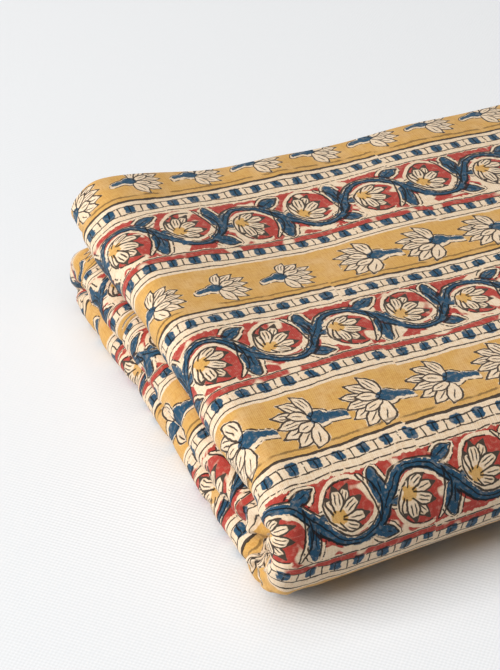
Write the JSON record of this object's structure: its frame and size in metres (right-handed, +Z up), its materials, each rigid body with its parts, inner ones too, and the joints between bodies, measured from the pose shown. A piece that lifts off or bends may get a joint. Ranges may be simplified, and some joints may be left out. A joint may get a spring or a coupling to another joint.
{
  "type": "folded kalamkari panel",
  "caption": "Block-printed cotton cloth, doubled across its stripes and folded in three into a soft rectangular pad with rounded folds.",
  "frame": {"origin": "middle of the pad's footprint, on the surface it lies on", "axes": "+X along the printed stripes, away from the rounded folds; +Y towards the far edge; +Z up"},
  "size_m": [0.2896, 0.196, 0.053],
  "materials": {
    "printed_cotton": "matt plain-weave cotton, block printed in ochre, madder red, indigo and brown-black on cream"
  },
  "bodies": {
    "root": {"folded_cloth": "printed_cotton"}
  },
  "joints": []
}
